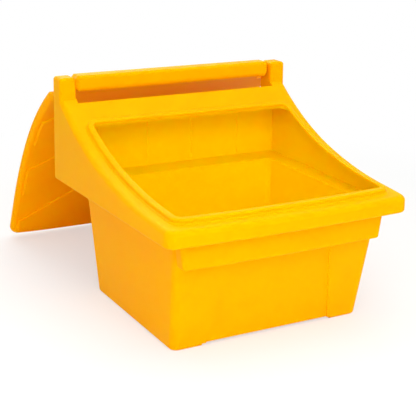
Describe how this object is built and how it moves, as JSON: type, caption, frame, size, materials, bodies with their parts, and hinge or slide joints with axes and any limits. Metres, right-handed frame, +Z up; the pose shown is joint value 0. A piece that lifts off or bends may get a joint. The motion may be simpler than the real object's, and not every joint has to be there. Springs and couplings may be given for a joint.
{
  "type": "grit salt bin",
  "caption": "Small moulded roadside bin for de-icing grit and salt, with a sloping rim and a curved lid hinged on a rod at the rear, shown open.",
  "frame": {"origin": "on the ground under the middle of the overall box of the bin with its lid open", "axes": "+Z up, the low front of the bin faces -Y, +X to the right seen from the front"},
  "size_m": [0.6752, 1.0624, 0.556],
  "materials": {
    "yellow_polyethylene": "satin moulded polyethylene",
    "galvanised_steel": "galvanised",
    "white_nylon": "natural nylon"
  },
  "bodies": {
    "bin": {"bin_body": "yellow_polyethylene", "hinge_bush_left": "white_nylon", "hinge_bush_right": "white_nylon", "rod_end_plug": "yellow_polyethylene"},
    "lid": {"lid": "yellow_polyethylene", "hinge_rod": "galvanised_steel"}
  },
  "joints": [
    {"name": "lid_hinge", "type": "hinge", "parent": "bin", "child": "lid", "pos_m": [0, 0.09779, 0.531], "axis": [1, 0, 0], "range_deg": [0, 248]}
  ]
}
